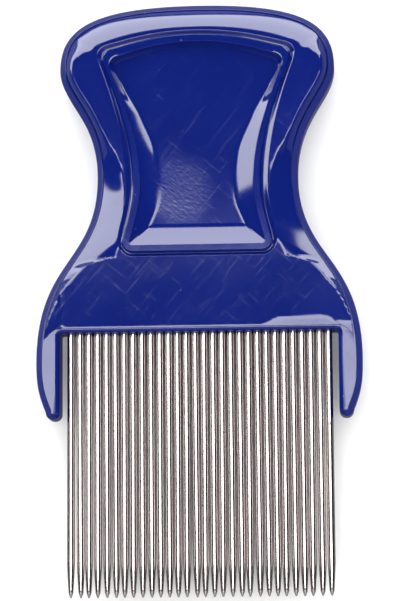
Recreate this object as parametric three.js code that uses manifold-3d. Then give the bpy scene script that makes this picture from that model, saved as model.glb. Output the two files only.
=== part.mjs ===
// A fine-toothed comb: a moulded plastic handle with a row of steel pins set into its end.
// Millimetres. X runs across the row, +Y from the pin tips to the crown of the handle and
// +Z out of the front face. Everything is drawn about the pin line (y = 0, z = 0) and the
// group then moves it so that the comb lies on z = 0, centred in X and Y.
import * as THREE from 'three';
import { mergeVertices } from 'three/addons/utils/BufferGeometryUtils.js';
import Module from 'manifold-3d';

const wasm = await Module();
wasm.setup();

// ---- pins ----
const pinCount = 30;
const pinDiameter = 1.3;
const pinGap = 0.19; // daylight between two pins
const pinReach = 44.1; // length that shows, from the end wall to the tip
const pinBuried = 9; // length inside the handle
const pinSides = 8;
const taperLength = 5.4; // drawn-down stretch, tip included
const neckDiameter = 0.8; // where the taper meets the blunt point
const pointLength = 0.85;
const pointDiameter = 0.26; // flat left at the very end
const grooveDepth = 0.15; // retaining groove on the buried root
const grooveWidth = 1.4;
const grooveInset = 2.5; // from the buried end to the groove
const socketClearance = 0.02; // radial, and at the bottom of the socket

// ---- handle, seen from the front ----
const handleLength = 55.9; // from the end wall to the crown
const headWidth = 46.5;
const crownHeight = 10.9; // from the widest part of the head to the crown
const waistWidth = 33.8;
const waistStation = 26.5; // above the end wall
const heelStation = -5; // widest part of the fins
const finGap = 1.05; // from the outer pin to the fin
const finWidth = 4;
const finReach = 14.5;
const finTipWidth = 2.4; // rounded end of a fin

// ---- handle, through its thickness ----
const thickness = 10;
const finThickness = 6;
const rimWidth = 1.1; // bevelled strip around the edge
const rimHeight = 1.2;
const crownRoll = 4; // width of the rolled shoulder of the grip
const lipRise = 0.3; // lip above the grip's face
const facetStation = 12.2; // a flat facet thins the grip from here to the end wall
const facetFoot = 0.6; // where the facet runs out on the face of the fins

// ---- finger dish, alike on both faces ----
const padCrownBand = 5.7; // from the crown to the lip
const padCrownSag = 2.8; // how far the lip's top edge bows
const padHeadWidth = 32.6;
const padWaistWidth = 21.2;
const padWaistStation = 25;
const padFootWidth = 25;
const padFootStation = 13.2;
const padCornerRadius = 1.6;
const lipWidth = 1.2;
const valleyWidth = 0.7; // groove outside the lip
const valleyDepth = 0.35;
const dishDepth = 1.4; // floor below the lip
const dishEdgeDepth = 0.35; // step left inside the lip at the far corners
const bowlDepth = 2.4; // of the full bowl that the flat floor cuts off

// ---- fineness of the curves ----
const curveSteps = 10;
const cornerSteps = 4;
const rollSteps = 4;

// ---- sizes that follow ----
const pinRadius = pinDiameter / 2;
const pinPitch = pinDiameter + pinGap;
const rowHalf = ((pinCount - 1) * pinPitch) / 2 + pinRadius;
const finInner = rowHalf + finGap;
const heelHalf = finInner + finWidth;
const halfThickness = thickness / 2;
const faceHeight = halfThickness - lipRise;
const gripBottom = heelStation - 2 * crownRoll; // before the end wall is cut
const overcut = 1; // how far a cutting solid runs past what it cuts

const plastic = new THREE.MeshStandardMaterial({ color: 0x1322a0, roughness: 0.16, metalness: 0 });
const steel = () => new THREE.MeshStandardMaterial({ color: 0xb9b3ae, roughness: 0.25, metalness: 1 });

// ---- solids ----

function toSolid(geometry) {
  const bare = geometry.index ? geometry.toNonIndexed() : geometry.clone();
  bare.deleteAttribute('normal');
  bare.deleteAttribute('uv');
  const merged = mergeVertices(bare, 1e-4);
  return new wasm.Manifold(
    new wasm.Mesh({
      numProp: 3,
      vertProperties: new Float32Array(merged.attributes.position.array),
      triVerts: new Uint32Array(merged.index.array),
    }),
  );
}

function toGeometry(solid) {
  const mesh = solid.getMesh();
  const geometry = new THREE.BufferGeometry();
  geometry.setAttribute('position', new THREE.BufferAttribute(mesh.vertProperties, 3));
  geometry.setIndex(new THREE.BufferAttribute(mesh.triVerts, 1));
  const faceted = geometry.toNonIndexed();
  faceted.computeVertexNormals();
  return faceted;
}

const mirrorX = (points) => points.map((p) => new THREE.Vector2(-p.x, p.y)).reverse();

// A shape symmetric about x = 0 from its right-hand half, listed from top to bottom.
function symmetricShape(rightHalf) {
  const whole = [...rightHalf, ...mirrorX(rightHalf)];
  return new THREE.Shape(whole.filter((p, i) => p.distanceTo(whole[(i + 1) % whole.length]) > 1e-6));
}

function bezier(...ends) {
  const vectors = ends.map(([x, y]) => new THREE.Vector2(x, y));
  return new THREE.CubicBezierCurve(...vectors).getPoints(curveSteps);
}

// A slab of a shape about z = 0. Its edges roll in by `roll` over the last `drop` of height.
function slab(shape, height, roll = 0, drop = 0, steps = 1) {
  const geometry = new THREE.ExtrudeGeometry(shape, {
    depth: height - 2 * drop,
    steps: 1,
    bevelEnabled: roll > 0,
    bevelThickness: drop,
    bevelSize: roll,
    bevelOffset: -roll,
    bevelSegments: steps,
  });
  return toSolid(geometry).translate([0, 0, drop - height / 2]);
}

function block(x0, x1, y0, y1, z0, z1) {
  return toSolid(new THREE.BoxGeometry(x1 - x0, y1 - y0, z1 - z0)).translate([
    (x0 + x1) / 2,
    (y0 + y1) / 2,
    (z0 + z1) / 2,
  ]);
}

// ---- outlines ----

// The right-hand edge of the head, waist and heel, moved in by `inset`. The pulls are the
// lengths of the curve handles as shares of the span that each one shapes.
function gripEdge(inset) {
  const crown = handleLength - inset;
  const head = headWidth / 2 - inset;
  const headStation = handleLength - crownHeight;
  const waist = waistWidth / 2 - inset;
  const heel = heelHalf - inset;
  const upperSpan = headStation - waistStation;
  const lowerSpan = waistStation - heelStation;
  const rise = crown - headStation;
  return [
    ...bezier([0, crown], [0.768 * head, crown], [head, headStation + 0.68 * rise], [head, headStation]),
    ...bezier(
      [head, headStation],
      [head, headStation - 0.29 * upperSpan],
      [waist, waistStation + 0.553 * upperSpan],
      [waist, waistStation],
    ).slice(1),
    ...bezier(
      [waist, waistStation],
      [waist, waistStation - 0.47 * lowerSpan],
      [heel, heelStation + 0.569 * lowerSpan],
      [heel, heelStation],
    ).slice(1),
  ];
}

// The whole edge, with the fin that runs down beside the pins.
function handleShape() {
  const tipRadius = finTipWidth / 2;
  const tipX = finInner + tipRadius;
  const tipY = tipRadius - finReach;
  const fall = heelStation - tipY;
  const outside = bezier(
    [heelHalf, heelStation],
    [heelHalf, heelStation - 0.5 * fall],
    [tipX + tipRadius + 0.12 * fall, tipY + 0.3 * fall],
    [tipX + tipRadius, tipY],
  );
  const tip = new THREE.EllipseCurve(tipX, tipY, tipRadius, tipRadius, 0, Math.PI, true);
  return symmetricShape([
    ...gripEdge(0),
    ...outside.slice(1),
    ...tip.getPoints(2 * cornerSteps).slice(1),
    new THREE.Vector2(finInner, 0),
  ]);
}

// The grip inside the rim strip. It runs past the end wall, which is cut afterwards.
function crownShape() {
  const grip = gripEdge(rimWidth);
  return symmetricShape([...grip, new THREE.Vector2(grip.at(-1).x, gripBottom)]);
}

// The hourglass of the lip, grown outwards by `grow` (inwards where it is negative).
function padShape(grow) {
  const crown = handleLength - padCrownBand + grow;
  const shoulder = crown - padCrownSag;
  const head = padHeadWidth / 2 + grow;
  const waist = padWaistWidth / 2 + grow;
  const foot = padFootWidth / 2 + grow;
  const footLine = padFootStation - grow;
  const round = Math.max(padCornerRadius + grow, padCornerRadius / 4);
  const upperSpan = shoulder - padWaistStation;
  const corner = new THREE.EllipseCurve(foot - round, footLine + round, round, round, 0, -Math.PI / 2, true);
  return symmetricShape([
    ...bezier([0, crown], [0.45 * head, crown], [0.8 * head, shoulder + 0.3 * padCrownSag], [head, shoulder]),
    ...bezier(
      [head, shoulder],
      [head - 0.12 * upperSpan, shoulder - 0.35 * upperSpan],
      [waist, padWaistStation + 0.35 * upperSpan],
      [waist, padWaistStation],
    ).slice(1),
    ...bezier(
      [waist, padWaistStation],
      [waist, padWaistStation - 0.4 * (padWaistStation - footLine)],
      [foot - 0.3, footLine + round + 1.5],
      [foot, footLine + round],
    ).slice(1),
    ...corner.getPoints(cornerSteps).slice(1),
  ]);
}

// ---- handle ----

function buildFins() {
  return slab(handleShape(), finThickness, rimWidth, rimHeight, 2);
}

// The rolled grip, thinned by a flat facet on each face and cut off square at the end wall.
function buildGrip() {
  const rollDrop = faceHeight - finThickness / 2 + rimHeight / 2;
  const beyond = block(-2 * heelHalf, 2 * heelHalf, 2 * gripBottom, 0, -thickness, thickness);
  const grip = slab(crownShape(), 2 * faceHeight, crownRoll, rollDrop, rollSteps).subtract(beyond);
  const slope = Math.atan2(faceHeight - finThickness / 2, facetStation - facetFoot);
  const wedge = block(-2 * heelHalf, 2 * heelHalf, -2 * facetStation, 0, 0, thickness)
    .rotate([THREE.MathUtils.radToDeg(slope), 0, 0])
    .translate([0, facetStation, faceHeight]);
  return grip.subtract(wedge).subtract(wedge.mirror([0, 0, 1]));
}

// The solid that sinks a dish into the front face: an ellipsoid with its bottom cut flat,
// sized to leave just the edge depth at the far corners of the pad.
function buildDish() {
  const crown = handleLength - padCrownBand;
  const middle = (crown + padFootStation) / 2;
  const acrossRadius = 0.8 * padHeadWidth;
  const alongRadius = 0.92 * (crown - padFootStation);
  const cornerShare =
    (padHeadWidth / 2 / acrossRadius) ** 2 + ((crown - padCrownSag - middle) / alongRadius) ** 2;
  const depthRadius = (bowlDepth - dishEdgeDepth) / (1 - Math.sqrt(1 - cornerShare));
  const bowl = toSolid(new THREE.SphereGeometry(1, 40, 24))
    .scale([acrossRadius, alongRadius, depthRadius])
    .translate([0, middle, halfThickness + depthRadius - bowlDepth]);
  const height = 2 * thickness;
  const opening = slab(padShape(-lipWidth), height);
  return opening.translate([0, 0, halfThickness - dishDepth + height / 2]).intersect(bowl);
}

function buildValley() {
  const ring = slab(padShape(valleyWidth), 2 * thickness).subtract(slab(padShape(0), 3 * thickness));
  const sheet = block(-headWidth, headWidth, 0, handleLength, faceHeight - valleyDepth, thickness);
  return ring.intersect(sheet);
}

// Half outline of a pin's buried root, from its end to the end wall, grown by a clearance.
function rootProfile(grow) {
  const end = pinBuried + grow;
  const radius = pinRadius + grow;
  const grooveTop = pinBuried - grooveInset;
  return [
    [0, end],
    [radius, end],
    [radius, grooveTop],
    [radius - grooveDepth, grooveTop - grooveWidth / 2],
    [radius, grooveTop - grooveWidth],
  ];
}

const lathe = (profile) =>
  new THREE.LatheGeometry(profile.map(([r, y]) => new THREE.Vector2(r, y)).reverse(), pinSides);

const pinPlaces = Array.from({ length: pinCount }, (_, i) => (i - (pinCount - 1) / 2) * pinPitch);

function buildSockets() {
  const mouth = [
    [pinRadius + socketClearance, -overcut],
    [0, -overcut],
  ];
  const socket = toSolid(lathe([...rootProfile(socketClearance), ...mouth]));
  return wasm.Manifold.union(pinPlaces.map((x) => socket.translate([x, 0, 0])));
}

function buildHandle() {
  const dish = buildDish();
  const valley = buildValley();
  const lip = slab(padShape(0), thickness);
  return buildGrip()
    .add(buildFins())
    .subtract(valley)
    .subtract(valley.mirror([0, 0, 1]))
    .add(lip)
    .subtract(dish)
    .subtract(dish.mirror([0, 0, 1]))
    .subtract(buildSockets());
}

// ---- pins ----

function pinGeometry() {
  return lathe([
    ...rootProfile(0),
    [pinRadius, taperLength - pinReach],
    [neckDiameter / 2, pointLength - pinReach],
    [pointDiameter / 2, -pinReach],
    [0, -pinReach],
  ]);
}

// ---- comb ----

const comb = new THREE.Group();
comb.position.set(0, (pinReach - handleLength) / 2, halfThickness);

const handle = new THREE.Mesh(toGeometry(buildHandle()), plastic);
handle.name = 'handle';
comb.add(handle);

pinPlaces.forEach((x, i) => {
  const pin = new THREE.Mesh(pinGeometry(), steel());
  pin.name = `pin_${String(i + 1).padStart(2, '0')}`;
  pin.position.x = x;
  comb.add(pin);
});

export default comb;
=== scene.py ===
"""Looks for a fine-toothed comb: a polished blue moulding with a row of bright steel pins."""

import math
import random

import bmesh
import bpy
from mathutils import Matrix, Vector


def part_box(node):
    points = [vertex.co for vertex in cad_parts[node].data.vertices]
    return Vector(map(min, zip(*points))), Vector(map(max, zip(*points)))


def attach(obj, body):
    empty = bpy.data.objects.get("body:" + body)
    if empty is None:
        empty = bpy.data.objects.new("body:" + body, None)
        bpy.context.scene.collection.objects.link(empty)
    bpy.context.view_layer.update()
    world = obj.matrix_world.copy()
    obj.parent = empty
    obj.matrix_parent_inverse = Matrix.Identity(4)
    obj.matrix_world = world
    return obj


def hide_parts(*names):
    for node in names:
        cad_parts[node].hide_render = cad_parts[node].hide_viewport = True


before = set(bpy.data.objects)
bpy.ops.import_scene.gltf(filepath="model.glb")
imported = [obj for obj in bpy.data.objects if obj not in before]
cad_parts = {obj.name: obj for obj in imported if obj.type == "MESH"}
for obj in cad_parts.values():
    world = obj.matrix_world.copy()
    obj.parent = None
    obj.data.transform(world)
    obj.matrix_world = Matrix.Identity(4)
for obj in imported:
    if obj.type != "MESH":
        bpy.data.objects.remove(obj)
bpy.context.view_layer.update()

MM = 0.001
STAND_IN_LOW, STAND_IN_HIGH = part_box("handle")
FIRST_PIN_LOW, FIRST_PIN_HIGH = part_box("pin_01")

# ---- sizes in millimetres, about the middle of the end wall ----
PIN_NAMES = sorted(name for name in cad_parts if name.startswith("pin_"))
PIN_RADIUS = (FIRST_PIN_HIGH.x - FIRST_PIN_LOW.x) / 2 / MM
PIN_REACH = 44.1
PIN_BURIED = (FIRST_PIN_HIGH.y - FIRST_PIN_LOW.y) / MM - PIN_REACH
TAPER_LENGTH = 5.4
NECK_RADIUS = 0.4
POINT_LENGTH = 0.85
POINT_RADIUS = 0.13

END_WALL_Y = FIRST_PIN_LOW.y + PIN_REACH * MM
MIDDLE_Z = (STAND_IN_LOW.z + STAND_IN_HIGH.z) / 2

CROWN = (STAND_IN_HIGH.y - END_WALL_Y) / MM
HEEL = STAND_IN_HIGH.x / MM
LIP_TOP = (STAND_IN_HIGH.z - MIDDLE_Z) / MM
HEAD, HEAD_STATION = 23.25, CROWN - 10.9
WAIST, WAIST_STATION = 16.9, 26.5
HEEL_STATION = -5.0
FIN_INNER = HEEL - 4.0
FIN_TIP_RADIUS = 1.2
FIN_END = (STAND_IN_LOW.y - END_WALL_Y) / MM

RIM_WALL = 1.75  # half height of the upright edge
RIM_WIDTH = 1.0  # bevelled strip inside the edge
RIM_STEP = 0.1  # the strip stands this far above what it frames
PLATE = 2.9  # faces of the fins, and foot of the grip's roll
FACE = LIP_TOP - 0.3  # faces of the grip
GRIP_INSET = RIM_WIDTH + 0.12
INNER_BEVEL = 0.72  # inner edges of the fins
WALL_BEVEL = 0.5  # edge of the end wall
FACET_TOP, FACET_FOOT = 14.0, 0.75  # stations of the facet that thins the body

LIP_CROWN = CROWN - 5.7
LIP_SAG = 2.8
LIP_HEAD = 16.0
LIP_WAIST, LIP_WAIST_STATION = 10.6, 25.0
LIP_FOOT, LIP_FOOT_STATION = 12.5, 13.2
LIP_CORNER = 1.7
LIP_WIDTH = 1.2
VALLEY_STATIONS = ((10, 0.75), (13.4, 0.75), (18, 1.3), (30, 1.45), (44, 1.3), (47.5, 0.8), (60, 0.8))
VALLEY_DEPTH = 0.32

# How far in the grip's side rolls, by station: scooped at the crown and waist, tight at the
# shoulders and beside the facet. A width past the lip's groove stops there.
ROLL_STATIONS = (
    (-3, 0.6), (1, 1.0), (4, 1.5), (6.6, 1.64), (9.1, 2.6), (10.8, 2.75), (12.1, 4.6), (12.8, 9), (14, 12),
    (19, 12), (23, 6.5), (27, 4.5), (30, 2.9), (32.5, 1.6), (35, 1.1), (44, 1.1), (46.5, 1.4), (49.2, 3.4),
    (51.5, 12), (60, 12),
)
# How round the roll is, by station: 2 bulges like an arc, 1 is a straight slope.
ROUND_STATIONS = ((8, 1.06), (18, 1.08), (23, 1.35), (29, 1.7), (35, 2), (60, 2))
# Width of the dish's cove, by station.
COVE_STATIONS = ((13, 3.3), (20, 3.7), (30, 3.4), (38, 2.6), (43, 1.5), (46, 0.5), (50, 0.35), (60, 0.35))
DISH_DEPTH = 1.3
COVE_ROUNDNESS = 1.35  # as for the roll
# The lip's walls: distance outside its outer, or its inner, outline, and height.
LIP_OUTER_WALL = ((0.08, 4.55), (0.02, 4.75), (-0.04, 4.92), (-0.12, LIP_TOP))
LIP_INNER_WALL = ((0.1, LIP_TOP), (0.03, 4.96), (-0.01, 4.86), (-0.03, LIP_TOP - 0.28))
LIP_EDGE, BRINK, BRINK_DROP = 0.12, 0.03, 0.28
# The groove outside the lip: share of its reach that is left, and share of its depth there.
GROOVE_SECTION = ((0.9, 0.1), (0.75, 0.36), (0.6, 0.64), (0.45, 0.88), (0.35, 1.0), (0.25, 1.0), (0.18, 0.9))
HIDDEN_WALL = (0.0, 0.6 * PLATE, PLATE - 0.4)  # heights of the grip's side inside the plate

# Columns of the mesh along each stretch of the right-hand half, from the crown to the end wall.
TOP_COLUMNS, UPPER_COLUMNS, LOWER_COLUMNS, CORNER_COLUMNS, WALL_COLUMNS = 34, 36, 34, 22, 82
HEEL_COLUMNS, TURN_COLUMNS = 28, 14
ROLL_SHARES = [0, 0.01, 0.02, 0.035, 0.05, 0.07, 0.09, 0.12, 0.15, 0.18] + [k / 50 for k in range(10, 51)]
LIP_FLAT_SHARES = (0.3, 0.6, 0.85)
COVE_ROWS, FLOOR_ROWS = 12, 14
FLOOR_HALF_LENGTH, FLOOR_LINE = 14, 10  # how the floor's rings draw in to a line
ROOT_COLUMN = TOP_COLUMNS + UPPER_COLUMNS + LOWER_COLUMNS + CORNER_COLUMNS + HEEL_COLUMNS


def lerp(a, b, t):
    return a + (b - a) * t


def between(stations, where):
    """A value read off a table of stations, with soft turns at each."""
    for (low, first), (high, second) in zip(stations, stations[1:]):
        if where <= high:
            t = max(0.0, (where - low) / (high - low))
            return lerp(first, second, t * t * (3 - 2 * t))
    return stations[-1][1]


def place(x, y, z):
    """A point given about the middle of the end wall, in the frame's metres."""
    return Vector((x * MM, END_WALL_Y + y * MM, MIDDLE_Z + z * MM))


def bezier(a, b, c, d, count):
    """Points of a cubic curve, without its first one."""
    points = []
    for i in range(1, count + 1):
        t = i / count
        s = 1 - t
        weights = (s * s * s, 3 * s * s * t, 3 * s * t * t, t * t * t)
        points.append(tuple(sum(w * p[k] for w, p in zip(weights, (a, b, c, d))) for k in (0, 1)))
    return points


def spaced(points, count):
    """The same line as evenly spaced points, without its first one."""
    lengths = [0.0]
    for p, q in zip(points, points[1:]):
        lengths.append(lengths[-1] + math.dist(p, q))
    result, k = [], 0
    for i in range(1, count + 1):
        target = lengths[-1] * i / count
        while k < len(lengths) - 2 and lengths[k + 1] < target:
            k += 1
        t = (target - lengths[k]) / (lengths[k + 1] - lengths[k])
        result.append((lerp(points[k][0], points[k + 1][0], t), lerp(points[k][1], points[k + 1][1], t)))
    return result


# ---- outlines of the handle ----


def crown_curve(count):
    rise = CROWN - HEAD_STATION
    pulls = (0.768 * HEAD, CROWN), (HEAD, HEAD_STATION + 0.68 * rise)
    return bezier((0, CROWN), *pulls, (HEAD, HEAD_STATION), count)


def neck_curve(count):
    span = HEAD_STATION - WAIST_STATION
    pulls = (HEAD, HEAD_STATION - 0.29 * span), (WAIST, WAIST_STATION + 0.553 * span)
    return bezier((HEAD, HEAD_STATION), *pulls, (WAIST, WAIST_STATION), count)


def flank_curve(count):
    span = WAIST_STATION - HEEL_STATION
    pulls = (WAIST, WAIST_STATION - 0.47 * span), (HEEL, HEEL_STATION + 0.569 * span)
    return bezier((WAIST, WAIST_STATION), *pulls, (HEEL, HEEL_STATION), count)


def fin_curve(count):
    """From the heel round the tip of the fin and back up its inner side."""
    tip_x, tip_y = FIN_INNER + FIN_TIP_RADIUS, FIN_END + FIN_TIP_RADIUS
    fall = HEEL_STATION - tip_y
    outer = (tip_x + FIN_TIP_RADIUS, tip_y)
    pulls = (HEEL, HEEL_STATION - 0.5 * fall), (outer[0] + 0.12 * fall, tip_y + 0.3 * fall)
    points = bezier((HEEL, HEEL_STATION), *pulls, outer, count)
    turns = [math.pi * i / count for i in range(1, count + 1)]
    points += [(tip_x + FIN_TIP_RADIUS * math.cos(a), tip_y - FIN_TIP_RADIUS * math.sin(a)) for a in turns]
    return points


def whole(right):
    """A closed ring from its right-hand half, which runs from x = 0 to x = 0."""
    return right + [(-x, y) for x, y in reversed(right[1:-1])]


def inset(ring, distance, shares=None):
    """A ring moved inwards along its own normals."""
    moved = []
    for i, (x, y) in enumerate(ring):
        step = distance * (shares[i] if shares else 1)
        ax, ay = ring[i - 1]
        bx, by = ring[(i + 1) % len(ring)]
        length = math.hypot(bx - ax, by - ay)
        moved.append((x + step * (by - ay) / length, y - step * (bx - ax) / length))
    return moved


def edge_ring():
    """The whole edge of the moulding, and how much of each inset its points take."""
    right = [(0, CROWN)] + crown_curve(60) + neck_curve(40) + flank_curve(60) + fin_curve(24)
    shares = [1.0] * (len(right) - 12) + [lerp(1, INNER_BEVEL / RIM_WIDTH, i / 12) for i in range(1, 13)]
    inner = [(FIN_INNER, y) for y in (-9, -6, -3, -1.2, -0.35)]
    inner += [(FIN_INNER - 0.1, -0.08), (FIN_INNER - 0.4, 0)]
    right += inner
    shares += [INNER_BEVEL / RIM_WIDTH] * (len(inner) - 2) + [0.6, WALL_BEVEL / RIM_WIDTH]
    wall = [(FIN_INNER * (1 - i / 30), 0) for i in range(1, 31)]
    right += wall
    shares += [WALL_BEVEL / RIM_WIDTH] * len(wall)
    return whole(right), shares + shares[-2:0:-1]


def grip_ring():
    """Foot of the grip: inside the rim strip, across the root of each fin, along the end wall."""
    outline = [(0, CROWN)] + crown_curve(160) + neck_curve(90) + flank_curve(160)
    edge = inset(whole(outline + [(0, HEEL_STATION)]), GRIP_INSET)[: len(outline)]
    edge[0] = (0, CROWN - GRIP_INSET)
    shoulder = min(range(len(edge)), key=lambda i: abs(edge[i][0] + 30 - edge[i][1]))
    waist = min(range(len(edge)), key=lambda i: abs(edge[i][1] - WAIST_STATION))
    flank = min(range(len(edge)), key=lambda i: abs(edge[i][1] - 11.5))
    heel = min(range(len(edge)), key=lambda i: abs(edge[i][1] - 8))
    root = min(range(len(edge)), key=lambda i: abs(edge[i][1] + 0.9))
    corner_x, foot_y = FIN_INNER + INNER_BEVEL + 0.05, WALL_BEVEL + 0.05
    pulls = (lerp(edge[root][0], corner_x, 0.35), -0.28), (lerp(edge[root][0], corner_x, 0.7), 0.28)
    cross = bezier(edge[root], *pulls, (corner_x, foot_y), 40)
    ring = [(0, CROWN - GRIP_INSET)]
    ring += spaced(edge[: shoulder + 1], TOP_COLUMNS)
    ring += spaced(edge[shoulder : waist + 1], UPPER_COLUMNS)
    ring += spaced(edge[waist : flank + 1], LOWER_COLUMNS)
    ring += spaced(edge[flank : heel + 1], CORNER_COLUMNS)
    ring += spaced(edge[heel : root + 1], HEEL_COLUMNS)
    ring += spaced([edge[root]] + cross, TURN_COLUMNS)
    straight = WALL_COLUMNS - HEEL_COLUMNS - TURN_COLUMNS
    ring += [(corner_x * (1 - i / straight), foot_y) for i in range(1, straight + 1)]
    return ring


def pad_ring(grow):
    """The hourglass of the lip, grown outwards, or inwards where grow is negative."""
    crown = LIP_CROWN + grow
    shoulder = crown - LIP_SAG
    head, waist, foot = LIP_HEAD + grow, LIP_WAIST + grow, LIP_FOOT + grow
    foot_line = LIP_FOOT_STATION - grow
    radius = max(LIP_CORNER + grow, 0.35)
    upper = shoulder - LIP_WAIST_STATION
    lower = LIP_WAIST_STATION - foot_line
    ring = [(0, crown)]
    top_end, side_start = (head - 1.5, shoulder + 0.45), (head - 0.3, shoulder - 1.5)
    turn = bezier(top_end, (head - 0.6, shoulder + 0.15), (head - 0.12, shoulder - 0.5), side_start, 20)
    pulls = (0.45 * head, crown), (0.8 * head - 1, shoulder + 0.3 * LIP_SAG + 0.25)
    ring += spaced([(0, crown)] + bezier((0, crown), *pulls, top_end, 40) + turn[:10], TOP_COLUMNS)
    pulls = (head - 0.12 * upper, shoulder - 0.35 * upper), (waist, LIP_WAIST_STATION + 0.35 * upper)
    side = turn[9:] + bezier(side_start, *pulls, (waist, LIP_WAIST_STATION), 60)
    ring += spaced(side, UPPER_COLUMNS)
    corner_top = foot_line + radius
    pulls = (waist, LIP_WAIST_STATION - 0.4 * lower), (foot - 0.3, corner_top + 1.5)
    side = bezier((waist, LIP_WAIST_STATION), *pulls, (foot, corner_top), 60)
    ring += spaced([(waist, LIP_WAIST_STATION)] + side, LOWER_COLUMNS)
    for i in range(1, CORNER_COLUMNS + 1):
        angle = math.pi / 2 * i / CORNER_COLUMNS
        ring.append((foot - radius + radius * math.cos(angle), corner_top - radius * math.sin(angle)))
    end = foot - radius
    ring += [(end * (1 - i / WALL_COLUMNS), foot_line) for i in range(1, WALL_COLUMNS + 1)]
    return ring


# ---- mesh tools ----


def first_ring(bm, points):
    """A ring of vertices, in order, and its edges."""
    ring = bmesh.ops.create_circle(bm, segments=len(points), radius=1)["verts"]
    for vertex, point in zip(ring, points):
        vertex.co = point
    return ring


def ring_edges(ring):
    """The edges between neighbours in a ring."""
    edges = []
    for i, vertex in enumerate(ring):
        before = ring[i - 1]
        edges.append(next(e for e in before.link_edges if e.other_vert(before) is vertex))
    return edges


def next_ring(bm, ring, points):
    """Extrudes a ring and moves the new one onto its points."""
    made = bmesh.ops.extrude_edge_only(bm, edges=ring_edges(ring))["geom"]
    fresh = {v for v in made if isinstance(v, bmesh.types.BMVert)}
    grown = []
    for vertex, point in zip(ring, points):
        partner = next(e.other_vert(vertex) for e in vertex.link_edges if e.other_vert(vertex) in fresh)
        partner.co = point
        grown.append(partner)
    return grown


def close_ring(bm, ring):
    bmesh.ops.contextual_create(bm, geom=ring_edges(ring))


def both_faces(bm):
    """Adds the same shape below the middle plane and joins the two there."""
    whole_shape = bm.verts[:] + bm.edges[:] + bm.faces[:]
    lift = Matrix.Translation((0, 0, -MIDDLE_Z))
    bmesh.ops.mirror(bm, geom=whole_shape, matrix=lift, merge_dist=1e-7, axis="Z")
    bmesh.ops.remove_doubles(bm, verts=bm.verts, dist=1e-7)
    bmesh.ops.recalc_face_normals(bm, faces=bm.faces)


def to_object(bm, name):
    mesh = bpy.data.meshes.new(name)
    bm.to_mesh(mesh)
    bm.free()
    piece = bpy.data.objects.new(name, mesh)
    bpy.context.scene.collection.objects.link(piece)
    return piece


# ---- the moulding ----


def build_plate():
    """The flat plate that carries the rim strip and both fins, and ends in the end wall."""
    ring, shares = edge_ring()
    outer = [(0, 0), (0, 0.6 * RIM_WALL), (0, RIM_WALL), (0.05, RIM_WALL + 0.16), (0.35, 2.26), (0.7, 2.68)]
    outer += [(0.97, PLATE + 0.09), (1.0, PLATE + RIM_STEP), (1.05, PLATE + 0.06), (1.08, PLATE)]
    inner = [0, 0.4 * PLATE, 0.78 * PLATE, 0.85 * PLATE, 0.93 * PLATE, 0.972 * PLATE]
    inner += [0.99 * PLATE, 0.998 * PLATE, PLATE, PLATE]
    rows = []
    for (distance, height), tame in zip(outer, inner):
        row = []
        for (x, y), share in zip(inset(ring, distance, shares), shares):
            row.append(place(x, y, lerp(tame, height, max(0.0, (share - 0.75) / 0.25))))
        rows.append(row)
    bm = bmesh.new()
    current = first_ring(bm, rows[0])
    for row in rows[1:]:
        current = next_ring(bm, current, row)
    close_ring(bm, current)
    both_faces(bm)
    return to_object(bm, "plate_with_fins")


def facet(x, y):
    """Height of the facet between the dish and the pins. Moulding left it a little uneven."""
    foot = FACET_FOOT
    if x < 0:
        foot -= 1.7 * between(((0, 0), (FIN_INNER - 0.3, 0), (FIN_INNER + 0.3, 1), (40, 1)), -x)
    else:
        foot += 1.35 * between(((0, 0), (10.5, 0), (14, 0.85), (21, 1), (23, 0.25), (40, 0.2)), x)
    rise = (FACE - PLATE) / (FACET_TOP - FACET_FOOT)
    return PLATE + (y - foot) * rise


def grip_height(x, y, inward, width, roundness):
    """Height of the grip, `inward` of its foot, where the side rolls in over `width`."""
    t = min(1.0, inward / width)
    base = PLATE - 0.03
    rolled = base + (FACE - base) * (1 - (1 - t) ** roundness)
    cut = max(facet(x, y), PLATE + 0.012)
    soft = 0.02
    blend = max(0.0, soft - abs(rolled - cut)) / soft
    return min(rolled, cut) - blend * blend * soft / 4


def grip_row(foot, valley_edge, reaches, share, side):
    """A ring of the grip's face, from its foot (share 0) to the groove round the lip (share 1)."""
    row = []
    for i, (start, end) in enumerate(zip(foot, valley_edge)):
        x, y = lerp(start[0], end[0], share), lerp(start[1], end[1], share)
        station = y if start[1] < 20 else start[1]
        width = min(reaches[i], between(ROLL_STATIONS, station))
        if i > ROOT_COLUMN:
            width = lerp(width, 0.05, min(1, (i - ROOT_COLUMN) / TURN_COLUMNS))
        roundness = between(ROUND_STATIONS, station)
        row.append((x, y, min(FACE, grip_height(side * x, y, share * reaches[i], width, roundness))))
    return row


def square_reaches(foot, valley_edge):
    """How far each column runs inwards, measured square to the edge it starts from."""
    reaches = []
    last = len(foot) - 1
    for i, (start, end) in enumerate(zip(foot, valley_edge)):
        (ax, ay), (bx, by) = foot[max(i - 1, 0)], foot[min(i + 1, last)]
        length = math.hypot(bx - ax, by - ay)
        across = ((end[0] - start[0]) * (by - ay) - (end[1] - start[1]) * (bx - ax)) / length
        reaches.append(max((0.5 if i <= ROOT_COLUMN else 1.0) * math.dist(start, end), abs(across)))
    return reaches


def lip_ring(grow):
    """The lip's outline, grown by a groove that is wider along the sides than at its ends."""
    base, unit = pad_ring(0), pad_ring(1)
    ring = []
    for (x0, y0), (x1, y1) in zip(base, unit):
        reach = grow * between(VALLEY_STATIONS, y0)
        ring.append((lerp(x0, x1, reach), lerp(y0, y1, reach)))
    return ring


def groove_rows(edge_row):
    """The groove outside the lip, sunk below the height of the face that it starts from."""
    rows = []
    for grow, sunk in GROOVE_SECTION:
        ring = lip_ring(grow)
        rows.append([(x, y, z - sunk * VALLEY_DEPTH) for (x, y), (_, _, z) in zip(ring, edge_row)])
    return rows


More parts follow.
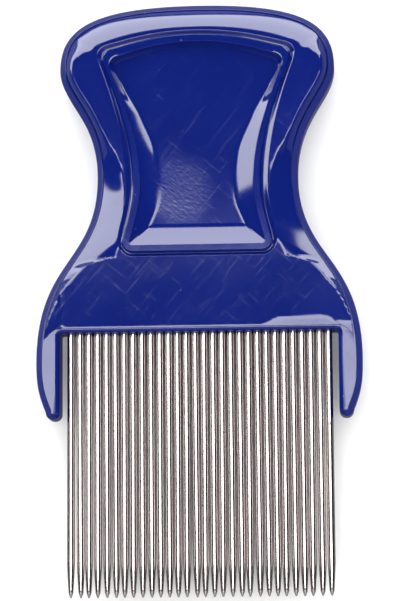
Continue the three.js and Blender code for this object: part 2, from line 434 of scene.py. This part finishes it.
def lip_rows():
    """The lip: its outer wall, its flat top and its inner wall."""
    rows = [[(x, y, height) for x, y in pad_ring(grow)] for grow, height in LIP_OUTER_WALL]
    for t in LIP_FLAT_SHARES:
        rows.append([(x, y, LIP_TOP) for x, y in pad_ring(lerp(-LIP_EDGE, LIP_EDGE - LIP_WIDTH, t))])
    rows += [[(x, y, height) for x, y in pad_ring(grow - LIP_WIDTH)] for grow, height in LIP_INNER_WALL]
    return rows


def cove_rows():
    """The side of the dish, from the lip's inner wall down to its floor."""
    brink, unit = pad_ring(-LIP_WIDTH - BRINK), pad_ring(-LIP_WIDTH - 1 - BRINK)
    rows = []
    for k in range(1, COVE_ROWS + 1):
        q = k / COVE_ROWS
        height = lerp(LIP_TOP - BRINK_DROP, LIP_TOP - DISH_DEPTH, 1 - (1 - q) ** COVE_ROUNDNESS)
        row = []
        for (x0, y0), (x1, y1) in zip(brink, unit):
            reach = between(COVE_STATIONS, y0) * q
            row.append((lerp(x0, x1, reach), lerp(y0, y1, reach), height))
        rows.append(row)
    return rows


def floor_rows(edge_row):
    """The flat floor of the dish, drawn in to a short line along its middle."""
    middle = (LIP_CROWN + LIP_FOOT_STATION) / 2
    rows = []
    for k in range(1, FLOOR_ROWS + 1):
        t = k / FLOOR_ROWS
        row = []
        for x0, y0, _ in edge_row:
            along = max(-1.0, min(1.0, (y0 - middle) / FLOOR_HALF_LENGTH))
            row.append((lerp(x0, 0, t), lerp(y0, middle + FLOOR_LINE * along, t), LIP_TOP - DISH_DEPTH))
        rows.append(row)
    return rows


def grip_rows(side):
    """Rings of one side of the grip, from its hidden wall over the roll and lip to the dish's middle."""
    foot, groove_edge = grip_ring(), lip_ring(1)
    reaches = square_reaches(foot, groove_edge)
    rows = [[(x, y, height) for x, y in foot] for height in HIDDEN_WALL]
    rows += [grip_row(foot, groove_edge, reaches, share, side) for share in ROLL_SHARES]
    rows += groove_rows(rows[-1])
    rows += lip_rows()
    rows += cove_rows()
    return rows + floor_rows(rows[-1])


def build_grip():
    """The grip: rolled sides, thinning facet, lip and dish. Only the facet differs left and right."""
    bm = bmesh.new()
    current = None
    for right_row, left_row in zip(grip_rows(1), grip_rows(-1)):
        right = [place(*p) for p in right_row]
        left = [place(-x, y, z) for x, y, z in reversed(left_row[1:-1])]
        points = right + left
        current = next_ring(bm, current, points) if current else first_ring(bm, points)
    bmesh.ops.remove_doubles(bm, verts=bm.verts, dist=2e-6)
    both_faces(bm)
    return to_object(bm, "grip")


def unite(base, tool):
    """Joins a second solid into the first and drops it."""
    union = base.modifiers.new("union", "BOOLEAN")
    union.operation = "UNION"
    union.solver = "MANIFOLD"
    union.object = tool
    made = bpy.data.meshes.new_from_object(base.evaluated_get(bpy.context.evaluated_depsgraph_get()))
    base.modifiers.clear()
    base.data = made
    bpy.data.objects.remove(tool)
    return base


def smooth(piece, degrees):
    piece.data.shade_smooth()
    piece.data.set_sharp_from_angle(angle=math.radians(degrees))


def build_handle():
    handle = unite(build_plate(), build_grip())
    handle.name = "moulded_handle"
    smooth(handle, 24)
    return handle


# ---- the pins ----

PIN_SIDES = 24


def build_pin(number, centre):
    """One drawn wire pin, with its own slight lean and bow."""
    draw = random.Random(number)
    lean_x, lean_z = draw.uniform(-0.12, 0.12), draw.uniform(-0.1, 0.1)
    stations = [(PIN_BURIED, 0.0), (PIN_BURIED, PIN_RADIUS)]
    stations += [(y, PIN_RADIUS) for y in (0, -8, -16, -24, -32, TAPER_LENGTH - PIN_REACH + 0.8)]
    for t in (0, 0.2, 0.45, 0.7, 0.9, 1):
        y = lerp(TAPER_LENGTH, POINT_LENGTH, t) - PIN_REACH
        stations.append((y, lerp(PIN_RADIUS, NECK_RADIUS, t ** 1.15)))
    for t in (0.1, 0.4, 0.75, 1):
        stations.append((lerp(POINT_LENGTH, 0.06, t) - PIN_REACH, lerp(NECK_RADIUS, POINT_RADIUS, t)))
    stations += [(0.01 - PIN_REACH, 0.6 * POINT_RADIUS), (-PIN_REACH, 0.0)]
    bm = bmesh.new()
    current = None
    for y, radius in stations:
        drift = (max(0.0, -y) / PIN_REACH) ** 1.3
        x, z = centre + lean_x * drift, lean_z * drift
        angles = [2 * math.pi * k / PIN_SIDES for k in range(PIN_SIDES)]
        points = [place(x + radius * math.cos(a), y, z + radius * math.sin(a)) for a in angles]
        current = next_ring(bm, current, points) if current else first_ring(bm, points)
    bmesh.ops.remove_doubles(bm, verts=bm.verts, dist=1e-7)
    bmesh.ops.recalc_face_normals(bm, faces=bm.faces)
    pin = to_object(bm, f"steel_pin_{number:02d}")
    smooth(pin, 40)
    return pin


# ---- finishes ----


class Wire:
    """One socket of a material, with arithmetic that adds the Math nodes for it."""

    def __init__(self, finish, socket):
        self.finish, self.socket = finish, socket

    def _math(self, operation, *values):
        return self.finish.node("ShaderNodeMath", {"operation": operation}, dict(enumerate(values)))

    def __add__(self, other):
        return self._math("ADD", self, other)

    def __radd__(self, other):
        return self._math("ADD", other, self)

    def __sub__(self, other):
        return self._math("SUBTRACT", self, other)

    def __rsub__(self, other):
        return self._math("SUBTRACT", other, self)

    def __mul__(self, other):
        return self._math("MULTIPLY", self, other)

    def __rmul__(self, other):
        return self._math("MULTIPLY", other, self)


class Finish:
    """A material built from expressions, ending in one principled shader."""

    def __init__(self, name):
        self.material = bpy.data.materials.new(name)
        self.material.use_nodes = True
        self.tree = self.material.node_tree
        self.tree.nodes.clear()
        self.shader = self.tree.nodes.new("ShaderNodeBsdfPrincipled")
        output = self.tree.nodes.new("ShaderNodeOutputMaterial")
        self.tree.links.new(self.shader.outputs[0], output.inputs[0])
        self.place = self.node("ShaderNodeTexCoord", {}, {}, "Object")

    def _feed(self, socket, value):
        if isinstance(value, Wire):
            self.tree.links.new(value.socket, socket)
        else:
            socket.default_value = value

    def node(self, kind, settings, values, output=0):
        made = self.tree.nodes.new(kind)
        for key, value in settings.items():
            setattr(made, key, value)
        for key, value in values.items():
            self._feed(made.inputs[key], value)
        return Wire(self, made.outputs[output])

    def mix(self, share, first, second):
        return self.node("ShaderNodeMix", {"data_type": "RGBA"}, {0: share, 6: first, 7: second}, 2)

    def axes(self):
        """Position in millimetres, as three wires."""
        parts = self.tree.nodes.new("ShaderNodeSeparateXYZ")
        self.tree.links.new(self.place.socket, parts.inputs[0])
        return [Wire(self, parts.outputs[k]) * (1 / MM) for k in range(3)]

    def grain(self, x, y, z, detail=2.0):
        """Cloudy noise between 0 and 1 at a place; scaling an axis packs it tighter."""
        spot = self.node("ShaderNodeCombineXYZ", {}, {0: x, 1: y, 2: z})
        return self.node("ShaderNodeTexNoise", {}, {"Vector": spot, "Scale": 1.0, "Detail": detail})

    def soft_step(self, value, start, end):
        """0 up to start and 1 from end, which may be the lower of the two."""
        settings = {"interpolation_type": "SMOOTHSTEP"}
        if start < end:
            values = {"Value": value, "From Min": start, "From Max": end}
            return self.node("ShaderNodeMapRange", settings, values)
        values = {"Value": value, "From Min": end, "From Max": start, "To Min": 1.0, "To Max": 0.0}
        return self.node("ShaderNodeMapRange", settings, values)

    def relief(self, height_mm):
        """Surface relief from a height in millimetres."""
        return self.node("ShaderNodeBump", {}, {"Strength": 1.0, "Distance": MM, "Height": height_mm})

    def set(self, **values):
        for key, value in values.items():
            self._feed(self.shader.inputs[key.replace("_", " ")], value)

    def wear(self, piece):
        piece.data.materials.clear()
        piece.data.materials.append(self.material)


def polished_blue():
    """Glossy moulding: slightly wavy, rippled in the dish, finely scratched, with a little dust."""
    finish = Finish("polished_blue_moulding")
    x, y, z = finish.axes()
    y = y - END_WALL_Y / MM
    clouds = finish.grain(x * 0.09, y * 0.09, z * 0.09)
    waves = finish.grain(x * 0.16, y * 0.16, z * 0.16, 0.0)
    along, across = x * 0.64 + y * 0.77, x * 0.77 - y * 0.64
    offset_x, offset_y = (x + 2.9) * 0.17, (y - 24.2) * 0.16
    away = offset_x * offset_x + offset_y * offset_y
    in_dish = finish.soft_step(away, 1.3, 0.1)
    ripples = finish.grain(along * 2.6, across * 1.1, z * 0.2, 1.0) * in_dish
    hairs = finish.soft_step(finish.grain(along * 0.12, across * 7.0, z * 0.5, 1.0), 0.66, 0.74)
    rubs = finish.soft_step(finish.grain(along * 6.0, across * 0.15, z * 0.5, 1.0), 0.68, 0.76)
    dust = finish.soft_step(finish.grain(x * 1.9, y * 1.9, z * 1.9, 0.0), 0.885, 0.93)
    marks = hairs + rubs
    tint = finish.mix(clouds, (0.0012, 0.0072, 0.106, 1), (0.0017, 0.009, 0.138, 1))
    finish.set(Base_Color=finish.mix(dust * 0.35, tint, (0.2, 0.24, 0.42, 1)))
    finish.set(Roughness=0.07 + clouds * 0.03 + marks * 0.06 + dust * 0.3 + in_dish * 0.06, IOR=1.5)
    finish.set(Normal=finish.relief(waves * 0.03 + ripples * 0.0125 - marks * 0.0008 + dust * 0.01))
    return finish


def bright_wire():
    """Drawn steel: streaks along its length, a shade of its own here and there, a few smudges."""
    finish = Finish("bright_drawn_wire")
    x, y, z = finish.axes()
    streaks = finish.grain(x * 6.0, y * 0.05, z * 6.0)
    shade = finish.grain(x * 0.6, y * 0.03, z * 0.1, 1.0)
    smudge = finish.soft_step(finish.grain(x * 0.9, y * 1.1, z * 0.4, 1.0), 0.7, 0.8)
    tint = finish.mix(shade, (0.47, 0.41, 0.405, 1), (0.54, 0.5, 0.485, 1))
    finish.set(Base_Color=finish.mix(smudge * 0.5, tint, (0.14, 0.12, 0.11, 1)), Metallic=1.0)
    finish.set(Roughness=0.1 + streaks * 0.09 + smudge * 0.12)
    finish.set(Normal=finish.relief(streaks * 0.003))
    return finish


# ---- floor, light and camera ----


def build_floor():
    bm = bmesh.new()
    bmesh.ops.create_grid(bm, x_segments=1, y_segments=1, size=1.5)
    floor = to_object(bm, "pale_floor")
    finish = Finish("pale_floor")
    # Painted shade: the floor's colour drops to dark grey wherever it is seen in reflections, so that the
    # polish and the pins keep their depth.
    ray = finish.tree.nodes.new("ShaderNodeLightPath")
    painted_shade_in_reflections = Wire(finish, ray.outputs["Is Glossy Ray"])
    finish.set(Base_Color=finish.mix(painted_shade_in_reflections, (0.9, 0.9, 0.9, 1), (0.16, 0.16, 0.16, 1)), Roughness=0.7)
    finish.wear(floor)


class Studio(Finish):
    """The air of the studio: dim, with two soft lamps drawn by direction. Angles in degrees."""

    def __init__(self, world):
        world.use_nodes = True
        self.tree = world.node_tree
        self.light = self.tree.nodes["Background"]
        way = self.node("ShaderNodeTexCoord", {}, {}, "Generated")
        parts = self.tree.nodes.new("ShaderNodeSeparateXYZ")
        self.tree.links.new(way.socket, parts.inputs[0])
        self.x, self.y, self.z = (Wire(self, parts.outputs[k]) for k in range(3))

    def between(self, value, low, high, softness):
        rise = self.soft_step(value, low - softness, low + softness)
        return rise * self.soft_step(value, high + softness, high - softness)


SHINE = 9.5  # brightness of the lamps in the polish, against the white floor
DIM, AMBIENT = 0.045, 1.9
# Where the lamps stand, in degrees: turned from +Y towards -X, above the horizon, and leaning off
# the upright along X and along Y.
WINDOW_TURN, WINDOW_HEIGHT = (-53, 77), (5, 58)
STRIP_LEAN_X, STRIP_LEAN_Y = (-19, 19), (-4.5, 8.3)
LOW_STRIP_LEAN_X, LOW_STRIP_LEAN_Y = (-24, 24), (-36, -13)
FILL_TURN, FILL_HEIGHT = (95, 125), (12, 52)


def build_lights():
    world = bpy.data.worlds.new("studio_air")
    studio = Studio(world)
    turn = studio.node("ShaderNodeMath", {"operation": "ARCTAN2"}, {0: 0.0 - studio.x, 1: studio.y}) * 57.296
    height = studio.node("ShaderNodeMath", {"operation": "ARCSINE"}, {0: studio.z}) * 57.296
    window = studio.between(turn, *WINDOW_TURN, 1.5) * studio.between(height, *WINDOW_HEIGHT, 1.2)
    lean_x = studio.node("ShaderNodeMath", {"operation": "ARCTAN2"}, {0: studio.x, 1: studio.z}) * 57.296
    lean_y = studio.node("ShaderNodeMath", {"operation": "ARCTAN2"}, {0: studio.y, 1: studio.z}) * 57.296
    strip = studio.between(lean_x, *STRIP_LEAN_X, 1.5) * studio.between(lean_y, *STRIP_LEAN_Y, 0.5)
    aside = studio.node("ShaderNodeMath", {"operation": "ABSOLUTE"}, {0: turn})
    fill = studio.soft_step(aside, *FILL_TURN) * studio.between(height, *FILL_HEIGHT, 7) * 0.06
    low_strip = studio.between(lean_x, *LOW_STRIP_LEAN_X, 3) * studio.between(lean_y, *LOW_STRIP_LEAN_Y, 2)
    lamps = window + strip + fill + low_strip * 0.16
    ray = studio.tree.nodes.new("ShaderNodeLightPath")
    camera, gloss = Wire(studio, ray.outputs["Is Camera Ray"]), Wire(studio, ray.outputs["Is Glossy Ray"])
    shine = gloss * (DIM + SHINE * lamps)
    soft = (1.0 - gloss) * (AMBIENT * (0.75 + 0.6 * window))
    strength = shine + soft + camera * 0.3
    studio._feed(studio.light.inputs["Strength"], strength)
    studio._feed(studio.light.inputs["Color"], (1, 1, 1, 1))
    world.cycles.sampling_method = "NONE"
    bpy.context.scene.world = world


CAMERA_LEAN_X, CAMERA_LEAN_Y = 3.37, 8.2  # degrees off the upright
CAMERA_DISTANCE = 454
CAMERA_ROLL = -0.447
CAMERA_LENS = 107.84  # millimetres, on a sensor 24 tall
SHIFT_X, SHIFT_Y = 0.0023, -0.0039


def build_camera():
    data = bpy.data.cameras.new("camera")
    data.sensor_fit = "VERTICAL"
    data.sensor_height = 24
    data.lens = CAMERA_LENS
    data.clip_start = 0.01
    camera = bpy.data.objects.new("camera", data)
    bpy.context.scene.collection.objects.link(camera)
    lean_x, lean_y = math.radians(CAMERA_LEAN_X), math.radians(CAMERA_LEAN_Y)
    way = Vector((math.tan(lean_x), -math.tan(lean_y), 1)).normalized()
    target = Vector((0, 0, MIDDLE_Z))
    camera.location = target + way * CAMERA_DISTANCE * MM
    forward = -way
    right = forward.cross(Vector((0, 1, 0))).normalized()
    up = right.cross(forward)
    roll = math.radians(CAMERA_ROLL)
    turned = (math.cos(roll) * right + math.sin(roll) * up, -math.sin(roll) * right + math.cos(roll) * up)
    camera.rotation_euler = Matrix((turned[0], turned[1], way)).transposed().to_euler()
    data.shift_x, data.shift_y = SHIFT_X, SHIFT_Y
    bpy.context.scene.camera = camera


# ---- assembly ----

plastic = polished_blue()
steel = bright_wire()

handle = build_handle()
plastic.wear(handle)
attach(handle, "root")
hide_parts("handle")

for number, name in enumerate(PIN_NAMES, 1):
    low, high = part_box(name)
    pin = build_pin(number, (low.x + high.x) / 2 / MM)
    steel.wear(pin)
    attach(pin, "root")
    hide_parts(name)

build_floor()
build_lights()
build_camera()
bpy.context.scene.view_settings.view_transform = "Standard"
